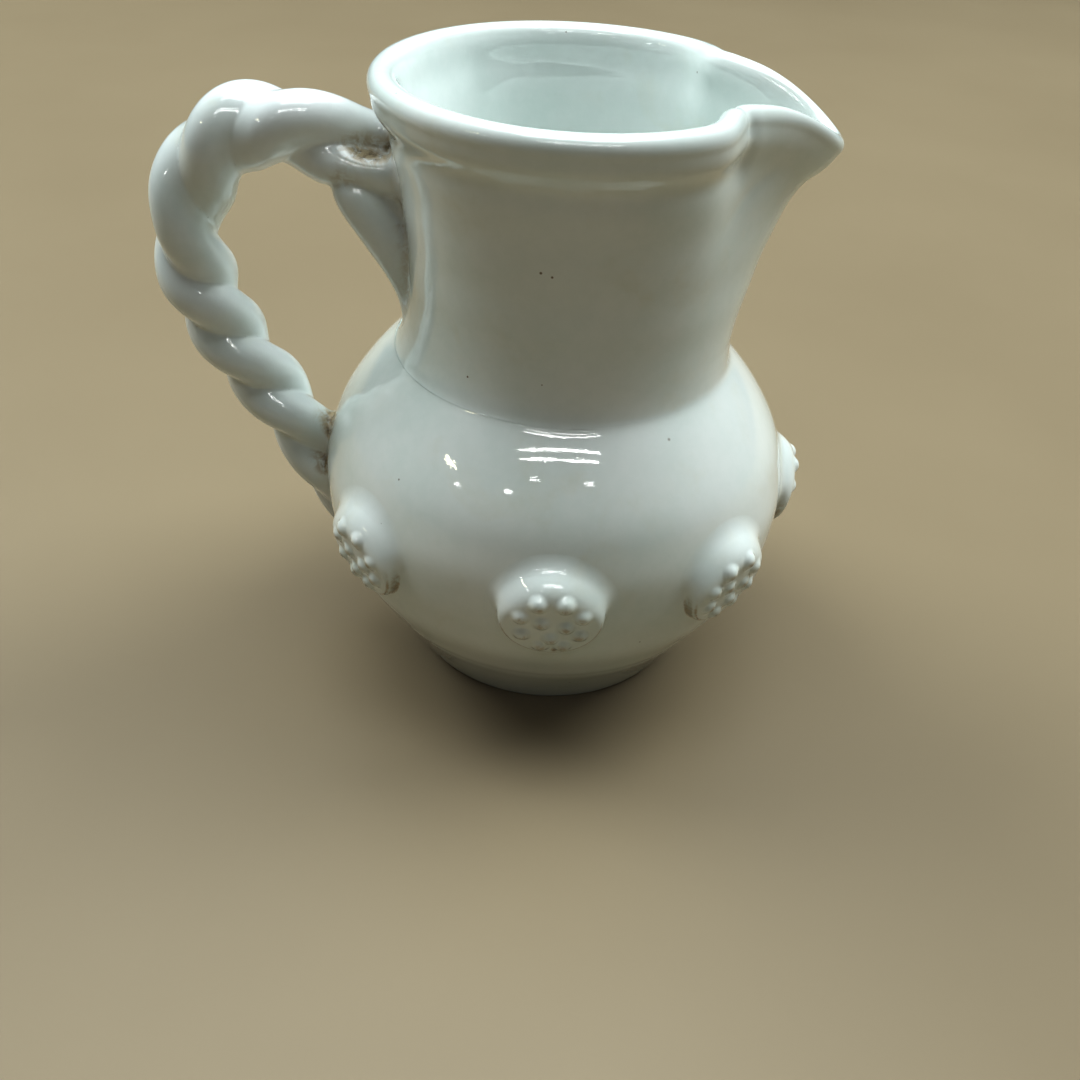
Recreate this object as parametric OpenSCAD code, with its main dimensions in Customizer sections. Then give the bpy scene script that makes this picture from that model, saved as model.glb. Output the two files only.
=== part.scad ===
// Small glazed pitcher: turned foot, belly and neck, a twisted two-coil handle and raised medallions.
// Millimetres, +Z up. Origin: centre of the foot's resting plane. +X is the pouring side.

/* [Body] */
// radius of the foot where it rests
foot_r = 30.7; // [24:0.1:34]
// radius of the crease between foot and belly
crease_r = 39; // [34:0.5:42]
// height of the crease between foot and belly
crease_z = 15.3; // [10:0.1:20]
// largest radius of the belly
belly_r = 46.6; // [42:0.1:52]
// height of the belly's widest ring
belly_z = 38.9; // [34:0.1:44]
// radius of the seam between belly and neck
seam_r = 31.8; // [29:0.1:35]
// height of the seam between belly and neck
seam_z = 67.8; // [62:0.1:74]
// thickness of the belly wall
belly_wall = 3.9; // [3:0.1:5.5]
// thickness of the foot under the middle of the belly
foot_floor = 2.8; // [2:0.1:4]

/* [Neck and rim] */
// radius to the middle of the neck wall at its narrowest
neck_r = 28.4; // [26:0.1:31]
// radius to the middle of the rolled rim
rim_r = 32.8; // [30:0.1:36]
// height of the middle of the rolled rim
rim_z = 114.7; // [108:0.1:120]
// half the thickness of the neck wall and rim
neck_half = 1.95; // [1.4:0.05:2.4]
// how far the neck leans towards the spout
neck_lean = 1.3; // [0:0.1:2.5]

/* [Spout] */
// how far the spout tip is pulled out from the rim circle
spout_out = 10.5; // [6:0.1:14]
// how far the spout tip drops below the rim
spout_drop = 6.8; // [3:0.1:9]
// half angle over which the spout is pulled out
spout_angle = 14.5; // [10:0.5:20]
// depth of the two finger pinches beside the spout
pinch_depth = 2.9; // [0:0.1:4]
// angle of each pinch from the middle of the spout
pinch_angle = 34; // [28:1:45]

/* [Handle] */
// radius of one clay coil of the handle
coil_r = 4.75; // [4:0.05:5.2]
// distance from the handle's middle line to each coil's middle line
coil_off = 2.7; // [2:0.05:3.2]
// extra turn given to the twist of the two coils, in degrees
twist_shift = 0; // [-20:1:20]

/* [Medallions] */
// number of even places round the belly; the handle's foot takes one of them
places = 8; // [8:1:8]
// distance from the axis to the middle of a medallion's face
disc_reach = 49.0; // [48.6:0.1:50.5]
// height of the middle of a medallion's face
disc_z = 37.9; // [36:0.1:40]
// radius of a medallion
disc_r = 9.2; // [8:0.1:10]
// downward tilt of a medallion's face, in degrees
disc_tilt = 10; // [4:0.5:14]
// how far three of the medallions were set off their even places, in degrees
disc_jog = 1.5; // [0:0.1:4]
// radius of the sphere whose cap forms each bump
bump_r = 1.85; // [1.2:0.05:2.4]

/* [Hidden] */
glaze = [0.86, 0.89, 0.88];
shade = [0.78, 0.82, 0.81];
accent = [0.90, 0.92, 0.91];

// Smooth curve through a list of points, n steps between neighbours.
function at(P, i) = P[max(0, min(len(P) - 1, i))];
function blend(a, b, c, d, t) =
  0.5 * (2 * b + (c - a) * t + (2 * a - 5 * b + 4 * c - d) * t * t + (3 * b - a - 3 * c + d) * t * t * t);
function curve(P, n) = [
  for (i = [0 : len(P) - 2])
    for (k = [0 : n - 1])
      blend(at(P, i - 1), at(P, i), at(P, i + 1), at(P, i + 2), k / n),
  P[len(P) - 1]
];
function unit(v) = v / norm(v);
function left(v) = [-v[1], v[0]];
function across(P, i) = left(unit(at(P, i + 1) - at(P, i - 1)));
function inset(P, w) = [for (i = [0 : len(P) - 1]) P[i] + w * across(P, i)];
function turned(P) = [for (i = [len(P) - 1 : -1 : 0]) P[i]];
function bell(x, w) = exp(-pow(abs(x) / w, 2));

// Belly: outer curve under the foot's crease and above it, wall set in from it.
under_pts = [[0, foot_floor], [14, foot_floor + 0.4], [25, foot_floor + 2.5], [33.6, 9.9], [crease_r, crease_z]];
over_pts = [
  [crease_r, crease_z],
  [crease_r + 5.6, crease_z + 11.6],
  [belly_r, belly_z],
  [belly_r - 1.5, belly_z + 9.9],
  [belly_r - 5.2, belly_z + 17.8],
  [belly_r - 10.1, belly_z + 24.1],
  [seam_r, seam_z]
];
under_line = curve(under_pts, 4);
over_line = curve(over_pts, 5);
belly_line = concat(under_line, [for (i = [1 : len(over_line) - 1]) over_line[i]]);
seam_in = seam_r - 2 * neck_half + 0.2;
belly_in = inset(belly_line, belly_wall);
belly_keep = [for (p = belly_in) if (p[0] > 1 && p[1] < seam_z - 1.2) p];

module belly_form() {
  rotate_extrude($fn = 180)
    polygon(concat(belly_line, [[0, seam_z]]));
}

module belly() {
  color(glaze)
    rotate_extrude($fn = 180)
      polygon(concat(belly_line, [[seam_in, seam_z]], turned(belly_keep), [[0, foot_floor + belly_wall]]));
}

// Foot: flared base under the belly, flat and rounded where it rests.
foot_side = curve([[foot_r, 1.1], [foot_r + 2.1, 5.4], [foot_r + 5.1, 10.4], [crease_r, crease_z]], 5);
foot_top = [for (p = turned(under_line)) if (p[0] < crease_r) p];

module foot() {
  color(shade)
    rotate_extrude($fn = 180)
      polygon(concat([[0, 0], [foot_r - 1.1, 0], [foot_r - 0.3, 0.35]], foot_side, foot_top));
}

// Neck: the wall's middle line changes round the axis to lean, pinch and pour.
neck_pts = [
  [seam_r - neck_half, 0],
  [neck_r + 0.6, 0.07],
  [neck_r + 0.1, 0.16],
  [neck_r, 0.32],
  [neck_r + 0.35, 0.5],
  [neck_r + 1.2, 0.7],
  [neck_r + 2.4, 0.86],
  [rim_r, 1]
];
neck_line = curve(neck_pts, 2);
function lift(v) = 0.62 * pow(max(0, (v - 0.13) / 0.87), 1.1) + 0.38 * pow(v, 6);
function fade(v) = sin(180 * pow(v, 0.7));
function wall_r(a, r, v) =
  r
  + neck_lean * cos(a) * fade(v)
  + spout_out * lift(v) * exp(-pow(abs(a) / (spout_angle + 14 * (1 - v)), 2.1))
  - pinch_depth * pow(v, 4) * bell(abs(a) - pinch_angle, 11);
function edge_z(a) = rim_z - spout_drop * bell(a, 13) + 0.5 * bell(abs(a) - 36, 9);
function wall_z(a, v) = seam_z + v * (edge_z(a) - seam_z);
function wall_mid(a) = [for (p = neck_line) [wall_r(a, p[0], p[1]), wall_z(a, p[1])]];
function half_at(a, i, n) = neck_half - 0.55 * bell(a, 12) * pow(i / n, 3);
function flat_end(p, i) = (i == 0) ? [p[0], seam_z] : p;
function slice(a) =
  let (
    M = wall_mid(a),
    n = len(M) - 1,
    h = half_at(a, n, n),
    tip = -across(M, n),
    up = -left(tip)
  )
  concat(
    [for (i = [0 : n]) flat_end(M[i] - (i == 0 ? neck_half * [-1, 0] : half_at(a, i, n) * across(M, i)), i)],
    [for (k = [1 : 5]) M[n] + h * (cos(30 * k) * tip - sin(30 * k) * up)],
    [for (i = [n : -1 : 0]) flat_end(M[i] + (i == 0 ? (neck_half - 0.1) * [-1, 0] : half_at(a, i, n) * across(M, i)), i)]
  );
angles = concat([for (a = [-60 : 3 : 57]) a], [for (a = [60 : 6 : 294]) a > 180 ? a - 360 : a]);

// Closed mesh from rings of points. Wrap joins the last ring to the first; swap turns the
// diagonals of the last strip, so two bodies that share this strip match along it.
function quads(rows, cols, wrap, swap) = [
  for (i = [0 : rows - (wrap ? 1 : 2)])
    for (j = [0 : cols - 1])
      for (k = [0, 1])
        let (
          a = i * cols + j,
          b = i * cols + (j + 1) % cols,
          c = ((i + 1) % rows) * cols + (j + 1) % cols,
          d = ((i + 1) % rows) * cols + j,
          other = swap && j == cols - 1
        )
        k == 0 ? (other ? [a, d, b] : [a, d, c]) : (other ? [d, c, b] : [a, c, b])
];

module neck_wall() {
  rings = [for (a = angles) [for (p = slice(a)) [p[0] * cos(a), p[0] * sin(a), p[1]]]];
  points = [for (r = rings) for (p = r) p];
  polyhedron(points, quads(len(rings), len(rings[0]), true, false));
}

module neck() {
  color(accent)
    neck_wall();
}

// Solid of the neck's back, used to cut what is set against it.
module neck_back() {
  rotate_extrude($fn = 180)
    polygon(concat([[0, seam_z]], [for (k = [0 : len(neck_line) - 1]) slice(180)[k]], [[0, rim_z]]));
}

// Handle: middle line in the X-Z plane as [reach, height, turn, offset, coil radius].
handle_pts = [
  [27.6, 100.6, -45, coil_off + 0.6, coil_r - 1.0],
  [38.5, 102.0, -38, coil_off + 0.4, coil_r - 0.5],
  [50.0, 105.4, 64, coil_off, coil_r],
  [60.5, 103.0, 230, coil_off, coil_r],
  [67.5, 94.0, 376, coil_off, coil_r],
  [70.0, 81.5, 501, coil_off, coil_r],
  [66.4, 68.5, 701, coil_off, coil_r - 0.1],
  [60.1, 56.8, 883, coil_off - 0.1, coil_r - 0.2],
  [53.0, 46.2, 1037, coil_off - 0.2, coil_r - 0.3],
  [48.6, 34.0, 1181, coil_off - 0.8, coil_r - 0.8],
  [45.0, 22.5, 1300, coil_off - 2.1, coil_r - 2.6]
];
handle_line = curve(handle_pts, 5);
function head(P, i) = unit([at(P, i + 1)[0] - at(P, i - 1)[0], at(P, i + 1)[1] - at(P, i - 1)[1]]);
arc_steps = 12;
function coil_ring(i, side) =
  let (
    q = handle_line[i],
    out = left(head(handle_line, i)),
    turn = q[2] + side + twist_shift,
    spread = acos(-q[3] / q[4])
  )
  [
    for (k = [0 : arc_steps])
      let (
        w = turn + spread * (1 - 2 * k / arc_steps),
        x = q[3] * cos(turn) + q[4] * cos(w),
        y = q[3] * sin(turn) + q[4] * sin(w)
      )
      [-(q[0] + x * out[0]), -y, q[1] + x * out[1]]
  ];

module ring_body(rings, swap) {
  n = len(rings);
  m = len(rings[0]);
  last = (n - 1) * m;
  points = [for (r = rings) for (p = r) p];
  start = [for (k = [1 : m - 2]) [0, k, k + 1]];
  end = [for (k = [1 : m - 2]) [last, last + k + 1, last + k]];
  polyhedron(points, concat(quads(n, m, false, swap), start, end));
}

module coil(side) {
  ring_body([for (i = [0 : len(handle_line) - 1]) coil_ring(i, side)], side > 0);
}

module handle_coil_a() {
  color(glaze)
    difference() {
      coil(0);
      neck_back();
      belly_form();
    }
}

module handle_coil_b() {
  color(shade)
    difference() {
      coil(180);
      neck_back();
      belly_form();
    }
}

// Tail: short tapered coil laid down the neck under the handle's upper end.
tail_pts = [
  [40.0, -1.4, 97.4, 3.3],
  [37.4, -2.4, 93.9, 4.2],
  [33.8, -2.8, 88.8, 4.2],
  [30.8, -2.8, 83.2, 3.5],
  [28.6, -2.6, 77.0, 2.2],
  [27.5, -2.4, 71.8, 0.9]
];
tail_line = curve(tail_pts, 3);
function tail_ring(i) =
  let (
    q = tail_line[i],
    t = unit([at(tail_line, i + 1)[0] - at(tail_line, i - 1)[0], at(tail_line, i + 1)[2] - at(tail_line, i - 1)[2]]),
    out = left(t)
  )
  [
    for (k = [0 : 13])
      let (w = -360 * k / 14)
      [-(q[0] + q[3] * cos(w) * out[0]), q[1] - q[3] * sin(w), q[2] + q[3] * cos(w) * out[1]]
  ];

module handle_tail() {
  color(accent)
    difference() {
      ring_body([for (i = [0 : len(tail_line) - 1]) tail_ring(i)], false);
      coil(0);
      coil(180);
      neck_back();
    }
}

// Medallion: rounded disc with one ring of bumps and three in the middle.
module bump(reach, turn) {
  face = 0.15 - 0.85 * pow(reach / disc_r, 2.4);
  rotate([0, 0, turn])
    translate([reach, 0, face - bump_r + 0.62])
      sphere(r = bump_r, $fn = 24);
}

module disc() {
  rotate_extrude($fn = 60)
    polygon([
      [0, -8],
      [disc_r + 1.4, -8],
      [disc_r + 1.2, -5.2],
      [disc_r + 0.5, -3.4],
      [disc_r + 0.1, -2.4],
      [disc_r - 0.4, -1.5],
      [disc_r - 1.2, -0.85],
      [disc_r - 2.4, -0.4],
      [disc_r - 4.2, -0.1],
      [disc_r - 6.6, 0.1],
      [0, 0.15]
    ]);
  for (k = [0 : 7])
    bump(5.8, 45 * k + 24);
  bump(1.9, 243);
  bump(2.8, 86);
  bump(3.2, 0);
}

module medallion(place) {
  jog = place == 0 ? 1.6 : place == 5 ? -1.6 : place == 6 ? 1 : 0;
  turn = place * 360 / places + jog * disc_jog;
  color(accent)
    difference() {
      rotate([0, 0, turn])
        translate([disc_reach, 0, disc_z])
          rotate([0, 90 + disc_tilt, 0])
            disc();
      belly_form();
    }
}

module medallion_1() { medallion(0); }
module medallion_2() { medallion(1); }
module medallion_3() { medallion(2); }
module medallion_4() { medallion(3); }
module medallion_5() { medallion(5); }
module medallion_6() { medallion(6); }
module medallion_7() { medallion(7); }

foot();
belly();
neck();
handle_coil_a();
handle_coil_b();
handle_tail();
medallion_1();
medallion_2();
medallion_3();
medallion_4();
medallion_5();
medallion_6();
medallion_7();
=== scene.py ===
"""Small white glazed pitcher: detailed surfaces built round the CAD frame."""

import math

import bpy
import numpy as np
from mathutils import Matrix, Vector


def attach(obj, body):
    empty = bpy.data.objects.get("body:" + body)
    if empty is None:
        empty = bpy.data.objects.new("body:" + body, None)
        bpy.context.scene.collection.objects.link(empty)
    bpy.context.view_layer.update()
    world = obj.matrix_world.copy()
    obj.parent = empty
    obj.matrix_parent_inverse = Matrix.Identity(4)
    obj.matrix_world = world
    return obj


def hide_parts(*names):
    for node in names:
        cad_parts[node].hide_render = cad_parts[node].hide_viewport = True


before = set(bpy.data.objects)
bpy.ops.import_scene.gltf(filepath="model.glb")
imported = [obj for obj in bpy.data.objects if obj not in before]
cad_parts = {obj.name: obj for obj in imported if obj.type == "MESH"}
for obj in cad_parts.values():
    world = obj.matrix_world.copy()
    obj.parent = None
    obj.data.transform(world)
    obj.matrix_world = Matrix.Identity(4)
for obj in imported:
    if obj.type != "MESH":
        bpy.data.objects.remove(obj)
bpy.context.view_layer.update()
MM = 0.001


# ---------------------------------------------------------------- camera
LENS = 35.3
YAW, PITCH_DOWN, ROLL = -0.63, 38.48, 3.36
CAMERA_PLACE = (0.0, -0.1846, 0.1648)


def make_camera():
    data = bpy.data.cameras.new("camera")
    data.sensor_width = 36.0
    data.lens = LENS
    data.clip_start = 0.01
    data.clip_end = 20.0
    cam = bpy.data.objects.new("camera", data)
    bpy.context.scene.collection.objects.link(cam)
    yaw, pitch, roll = (math.radians(v) for v in (YAW, PITCH_DOWN, ROLL))
    right = Vector((math.cos(yaw), -math.sin(yaw), 0.0))
    ahead = Vector((math.sin(yaw), math.cos(yaw), 0.0))
    down = Vector((0.0, 0.0, -1.0))
    fwd = ahead * math.cos(pitch) + down * math.sin(pitch)
    up = ahead * math.sin(pitch) - down * math.cos(pitch)
    side = right * math.cos(roll) + up * math.sin(roll)
    top = up * math.cos(roll) - right * math.sin(roll)
    turn = Matrix((side, top, -fwd)).transposed().to_4x4()
    cam.matrix_world = Matrix.Translation(CAMERA_PLACE) @ turn
    bpy.context.scene.camera = cam


make_camera()


# ---------------------------------------------------------------- helpers, millimetres
def spline(points, n):
    """Smooth curve through the points, n steps from each point to the next."""
    p = np.array(points, float)
    out = []
    for i in range(len(p) - 1):
        a, b, c, d = p[max(i - 1, 0)], p[i], p[i + 1], p[min(i + 2, len(p) - 1)]
        t = np.linspace(0.0, 1.0, n, endpoint=False)[:, None]
        square, cube = 2 * a - 5 * b + 4 * c - d, 3 * b - a - 3 * c + d
        out.append(0.5 * (2 * b + (c - a) * t + square * t**2 + cube * t**3))
    out.append(p[-1:])
    return np.vstack(out)


def bell(x, w):
    """One at x = 0, falling away over about w."""
    return np.exp(-((np.abs(x) / w) ** 2))


def step(lo, hi, x):
    """Smooth rise from 0 at lo to 1 at hi."""
    t = np.clip((x - lo) / (hi - lo), 0.0, 1.0)
    return t * t * (3.0 - 2.0 * t)


def unit(v):
    return v / np.maximum(np.linalg.norm(v, axis=-1, keepdims=True), 1e-12)


def soft_min(a, b, k):
    """Smaller of two distances, with the corner between them filled over a width k."""
    h = np.clip(0.5 + 0.5 * (b - a) / k, 0.0, 1.0)
    return b + (a - b) * h - k * h * (1.0 - h)


def wobble(p):
    """Slight hand-made unevenness, the same smooth field for every piece."""
    x, y, z = p[..., 0], p[..., 1], p[..., 2]
    rho = np.hypot(x, y)
    a = np.arctan2(y, x)
    lifted = step(2.0, 16.0, z)
    near = step(4.0, 24.0, rho)
    grow = 0.16 * np.sin(2 * a + 0.7 + 0.021 * z) + 0.10 * np.sin(3 * a - 1.1 - 0.034 * z)
    grow = grow + 0.045 * np.sin(z * 0.62 + 0.6 * np.sin(a + 0.5)) + 0.03 * np.sin(5 * a + 0.13 * z)
    grow = grow * lifted * near
    out = p.copy()
    out[..., 0] += grow * np.cos(a)
    out[..., 1] += grow * np.sin(a)
    return out


def grid_quads(rows, cols):
    """Faces of a grid of rows whose columns close into rings."""
    i = np.arange(rows - 1)[:, None]
    j = np.arange(cols)[None, :]
    low, high, after = i * cols, (i + 1) * cols, (j + 1) % cols
    corners = np.broadcast_arrays(low + j, low + after, high + after, high + j)
    return np.stack(corners, -1).reshape(-1, 4)


def fan(centre, ring, flip):
    """Triangles from one vertex to a ring of vertices."""
    nxt = np.roll(ring, -1)
    c = np.full(len(ring), centre)
    return np.stack((c, nxt, ring) if flip else (c, ring, nxt), -1)


class Build:
    """Collects vertices, faces, normals and a value for stain and painted shade, then makes one mesh object.
    """

    def __init__(self):
        self.v, self.n, self.s, self.f, self.count = [], [], [], [], 0

    def add(self, verts, faces, normals=None, stain_and_shade=None):
        verts = np.asarray(verts, float).reshape(-1, 3)
        self.v.append(verts)
        normals = np.zeros_like(verts) if normals is None else normals
        stain_and_shade = np.zeros(len(verts)) if stain_and_shade is None else stain_and_shade
        self.n.append(np.asarray(normals, float).reshape(-1, 3))
        self.s.append(np.asarray(stain_and_shade, float).reshape(-1))
        for f in faces if isinstance(faces, list) else [faces]:
            self.f.append(np.asarray(f) + self.count)
        self.count += len(verts)

    def make(self, name, slot, nodes):
        v = wobble(np.vstack(self.v)) * MM
        normals = np.vstack(self.n)
        faces = [row for f in self.f for row in f.tolist()]
        mesh = bpy.data.meshes.new(name)
        mesh.from_pydata(v.tolist(), [], faces)
        mesh.polygons.foreach_set("use_smooth", np.ones(len(faces), bool))
        attr = mesh.attributes.new("stain_and_shade", "FLOAT", "POINT")
        attr.data.foreach_set("value", np.concatenate(self.s).astype(np.float32))
        mesh.update()
        mesh.normals_split_custom_set_from_vertices(normals.tolist())
        mesh.materials.append(MATS[slot])
        obj = bpy.data.objects.new(name, mesh)
        bpy.context.scene.collection.objects.link(obj)
        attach(obj, "root")
        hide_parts(*nodes)


# ---------------------------------------------------------------- materials
THIN, POOLED, BRIGHT = (0.70, 0.72, 0.62), (0.62, 0.74, 0.70), (0.93, 0.95, 0.94)
# painted shade: the near-foot colour darkens the glaze towards the foot
# the tan and deep stain colours paint real stains, and painted shade on the medallions
FOOT_SHADE, TAN_STAIN_AND_SHADE, DARK_STAIN_AND_SHADE = (0.50, 0.49, 0.41), (0.40, 0.315, 0.175), (0.12, 0.080, 0.035)
PIT_BROWN, HOLE_GREY, IRON = (0.15, 0.10, 0.05), (0.20, 0.19, 0.155), (0.23, 0.14, 0.07)


def node(tree, kind, **settings):
    n = tree.nodes.new(kind)
    for key, value in settings.items():
        setattr(n, key, value)
    return n


def glaze(name, pits, body):
    """White tin-type glaze: slow tint drift, pooling, pinholes, iron specks, stained crevices and painted
    shade.

    Each pit is a place and a size in millimetres; body is the glaze's main colour.
    """
    mat = bpy.data.materials.new(name)
    mat.use_nodes = True
    t = mat.node_tree
    t.nodes.clear()
    link = t.links.new
    out = node(t, "ShaderNodeOutputMaterial")
    bsdf = node(t, "ShaderNodeBsdfPrincipled")
    bsdf.inputs["IOR"].default_value = 1.52
    bsdf.inputs["Coat Weight"].default_value = 0.5
    bsdf.inputs["Coat Roughness"].default_value = 0.015
    link(bsdf.outputs["BSDF"], out.inputs["Surface"])
    coord = node(t, "ShaderNodeTexCoord")

    def noise(scale, detail, rough=0.5, distort=0.0):
        n = node(t, "ShaderNodeTexNoise")
        n.inputs["Scale"].default_value = scale
        n.inputs["Detail"].default_value = detail
        n.inputs["Roughness"].default_value = rough
        n.inputs["Distortion"].default_value = distort
        link(coord.outputs["Object"], n.inputs["Vector"])
        return n.outputs["Fac"]

    def ramp(source, lo, hi, a=0.0, b=1.0):
        m = node(t, "ShaderNodeMapRange", interpolation_type="SMOOTHSTEP")
        m.inputs["From Min"].default_value = lo
        m.inputs["From Max"].default_value = hi
        m.inputs["To Min"].default_value = a
        m.inputs["To Max"].default_value = b
        link(source, m.inputs["Value"])
        return m.outputs["Result"]

    def math_node(op, a, b):
        m = node(t, "ShaderNodeMath", operation=op)
        for i, v in enumerate((a, b)):
            if isinstance(v, (int, float)):
                m.inputs[i].default_value = v
            else:
                link(v, m.inputs[i])
        return m.outputs["Value"]

    def mix(fac, a, b):
        m = node(t, "ShaderNodeMix", data_type="RGBA")
        link(fac, m.inputs[0])
        for i, v in ((6, a), (7, b)):
            if isinstance(v, tuple):
                m.inputs[i].default_value = (*v, 1.0)
            else:
                link(v, m.inputs[i])
        return m.outputs[2]

    # drift of tint over the whole pot, then thin places, then a fine bright grain
    base = mix(ramp(noise(26.0, 3.0, 0.55), 0.35, 0.7, 0.0, 0.55), body, POOLED)
    base = mix(ramp(noise(70.0, 4.0, 0.6, 0.4), 0.52, 0.78, 0.0, 0.45), base, THIN)
    base = mix(ramp(noise(420.0, 3.0, 0.6), 0.35, 0.65, 0.0, 0.10), base, BRIGHT)

    # painted shade: the colour turns darker and warmer towards the foot
    sep = node(t, "ShaderNodeSeparateXYZ")
    link(coord.outputs["Object"], sep.inputs["Vector"])
    low = ramp(sep.outputs["Z"], 0.021, 0.004, 0.0, 0.10)
    base = mix(low, base, FOOT_SHADE)

    # stain and painted shade from the mesh, broken up by noise, and near black where it is deepest
    stain_and_shade_in = node(t, "ShaderNodeAttribute", attribute_name="stain_and_shade")
    patches = ramp(noise(520.0, 5.0, 0.7, 0.6), 0.30, 0.62, 0.25, 1.0)
    broken = math_node("MULTIPLY", stain_and_shade_in.outputs["Fac"], patches)
    stain_and_shade = ramp(broken, 0.08, 0.85, 0.0, 0.92)
    base = mix(stain_and_shade, base, TAN_STAIN_AND_SHADE)
    deepest = ramp(stain_and_shade_in.outputs["Fac"], 0.62, 1.0)
    deep = math_node("MULTIPLY", deepest, ramp(noise(900.0, 4.0, 0.7), 0.44, 0.6))
    base = mix(math_node("MULTIPLY", deep, 0.85), base, DARK_STAIN_AND_SHADE)

    def specks(scale, size, amount, colour, base):
        """Round dots in a share `amount` of the cells; gives the new colour and the dots' mask."""
        v = node(t, "ShaderNodeTexVoronoi")
        v.inputs["Scale"].default_value = scale
        link(coord.outputs["Object"], v.inputs["Vector"])
        pick = node(t, "ShaderNodeSeparateColor")
        link(v.outputs["Color"], pick.inputs["Color"])
        dot = ramp(v.outputs["Distance"], size, size * 0.45)
        some = ramp(pick.outputs["Red"], 1.0 - amount, 1.0 - amount + 0.01)
        mask = math_node("MULTIPLY", dot, some)
        return mix(mask, base, colour), mask

    marks = None
    for x, y, z, size in pits:
        v = node(t, "ShaderNodeVectorMath", operation="DISTANCE")
        link(coord.outputs["Object"], v.inputs[0])
        v.inputs[1].default_value = (x * MM, y * MM, z * MM)
        one = ramp(v.outputs["Value"], size * MM, size * MM / 2.2)
        marks = one if marks is None else math_node("MAXIMUM", marks, one)
    if marks is not None:
        base = mix(math_node("MULTIPLY", marks, 0.9), base, PIT_BROWN)

    base, holes = specks(330.0, 0.085, 0.045, HOLE_GREY, base)
    base, iron = specks(150.0, 0.040, 0.030, IRON, base)
    link(base, bsdf.inputs["Base Color"])

    rough = ramp(noise(60.0, 3.0), 0.3, 0.7, 0.020, 0.045)
    rough = math_node("ADD", rough, math_node("MULTIPLY", stain_and_shade, 0.35))
    rough = math_node("ADD", rough, math_node("MULTIPLY", holes, 0.3))
    link(rough, bsdf.inputs["Roughness"])

    height = math_node("MULTIPLY", noise(110.0, 1.0, 0.4), 0.16)
    height = math_node("ADD", height, math_node("MULTIPLY", noise(1300.0, 2.0, 0.5), 0.055))
    height = math_node("SUBTRACT", height, math_node("MULTIPLY", holes, 0.30))
    height = math_node("SUBTRACT", height, math_node("MULTIPLY", iron, 0.12))
    grit = math_node("MULTIPLY", stain_and_shade, noise(1500.0, 4.0, 0.7))
    height = math_node("ADD", height, math_node("MULTIPLY", grit, 0.25))
    bump = node(t, "ShaderNodeBump")
    bump.inputs["Strength"].default_value = 0.35
    bump.inputs["Distance"].default_value = 0.0004
    link(height, bump.inputs["Height"])
    link(bump.outputs["Normal"], bsdf.inputs["Normal"])
    link(bump.outputs["Normal"], bsdf.inputs["Coat Normal"])
    return mat


# x, y, z and size of the single dark pits
PITS = {
    "neck_glaze": [
        (-4.0, -30.6, 95.0, 0.32),
        (-2.2, -30.8, 94.5, 0.30),
        (-15.8, -25.7, 73.1, 0.25),
        (-2.9, -30.2, 75.0, 0.2),
    ],
    "belly_glaze": [(19.5, -28.4, 64.7, 0.55), (16.3, -30.1, 65.0, 0.25)],
}
BODY_COLOUR = (0.775, 0.83, 0.81)
OWN_COLOUR = {"handle_glaze": (0.79, 0.83, 0.835), "belly_glaze": (0.79, 0.84, 0.815)}
MATS = {
    slot: glaze(slot, PITS.get(slot, ()), OWN_COLOUR.get(slot, BODY_COLOUR))
    for slot in ("foot_glaze", "belly_glaze", "neck_glaze", "handle_glaze", "medallion_glaze")
}

# ---------------------------------------------------------------- turned body, one grid
COLS = 600
TURN = 2.0 * np.pi * np.arange(COLS) / COLS
DEG = (np.degrees(TURN) + 180.0) % 360.0 - 180.0  # 0 at the spout, 180 at the handle

FOOT_R, CREASE_R, CREASE_Z = 30.7, 39.0, 15.3
SEAM_R, SEAM_Z, BELLY_R, BELLY_Z = 31.8, 67.8, 46.6, 38.9
WALL, FLOOR = 3.9, 2.8
NECK_R, RIM_R, RIM_Z, HALF, LEAN = 28.4, 32.8, 114.7, 1.95, 1.3
SPOUT_OUT, SPOUT_DROP, SPOUT_ANGLE, PINCH, PINCH_ANGLE = 10.5, 6.8, 14.5, 2.9, 34.0
DENT, DENT_ANGLE, DENT_LEAN, DENT_V = 0.4, 27.0, 82.0, 0.775
AXIS_R = 1e-6  # a smaller radius counts as on the axis


def lift(v):
    """How far the spout has come forward at share v of the neck's height."""
    return 0.62 * np.maximum(0.0, (v - 0.13) / 0.87) ** 1.1 + 0.38 * v**6


def wall_r(a, r, v):
    """Radius of the neck wall's middle at angle a, with spout, dent and pinches."""
    out = r + LEAN * np.cos(np.radians(a)) * np.sin(np.pi * v**0.7)
    out = out + SPOUT_OUT * lift(v) * np.exp(-((np.abs(a) / (SPOUT_ANGLE + 14.0 * (1.0 - v))) ** 2.1))
    out = out - DENT * bell(a + DENT_ANGLE - DENT_LEAN * (v - DENT_V), 4.5) * bell(v - DENT_V, 0.09)
    return out - PINCH * v**4 * bell(np.abs(a) - PINCH_ANGLE, 11.0)


def edge_z(a):
    """Height of the rim at angle a."""
    return RIM_Z - SPOUT_DROP * bell(a, 13.0) + 0.5 * bell(np.abs(a) - 36.0, 9.0)


def under_line(n):
    """Contact between foot and belly, from the axis out to the crease."""
    return spline([[0, FLOOR], [14, FLOOR + 0.4], [25, FLOOR + 2.5], [33.6, 9.9], [CREASE_R, CREASE_Z]], n)


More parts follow.
